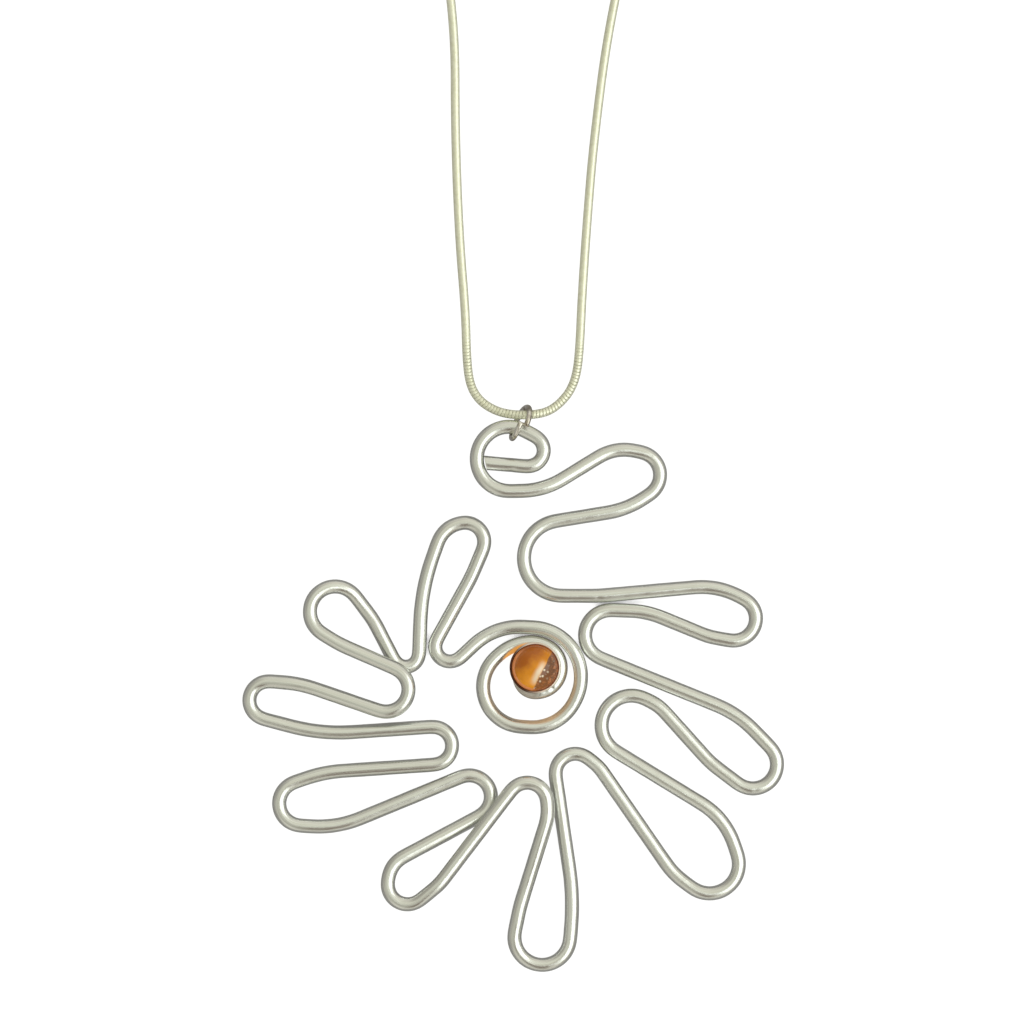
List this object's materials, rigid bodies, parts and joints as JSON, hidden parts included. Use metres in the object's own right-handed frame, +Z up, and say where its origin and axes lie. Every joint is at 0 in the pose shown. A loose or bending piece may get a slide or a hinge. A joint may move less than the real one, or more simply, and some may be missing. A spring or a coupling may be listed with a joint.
{
  "type": "flower pendant necklace",
  "caption": "Flower bent from one round wire, with a small amber cabochon at its middle, hung by a jump ring from a closed snake chain with a lobster clasp.",
  "frame": {"origin": "on the table under the middle of the necklace's outline as it lies", "axes": "+X to the right and +Y from the flower to the clasp as the picture shows it, +Z up from the table, towards the viewer"},
  "size_m": [0.0836, 0.2684, 0.0054],
  "materials": {
    "flower_wire": "satin, with drawing lines and small tool marks",
    "bezel": "satin, tarnished at the foot",
    "amber": "polished, cloudy honey brown to orange",
    "ring_steel": "bright, cut ends",
    "chain": "bright, fine links",
    "fittings": "bright"
  },
  "bodies": {
    "root": {"flower_wire": "flower_wire", "bezel_cup": "bezel", "cabochon": "amber", "jump_ring": "ring_steel", "snake_chain": "chain", "end_cap_left": "fittings", "end_cap_right": "fittings", "clasp": "fittings", "clasp_ring": "fittings"}
  },
  "joints": []
}
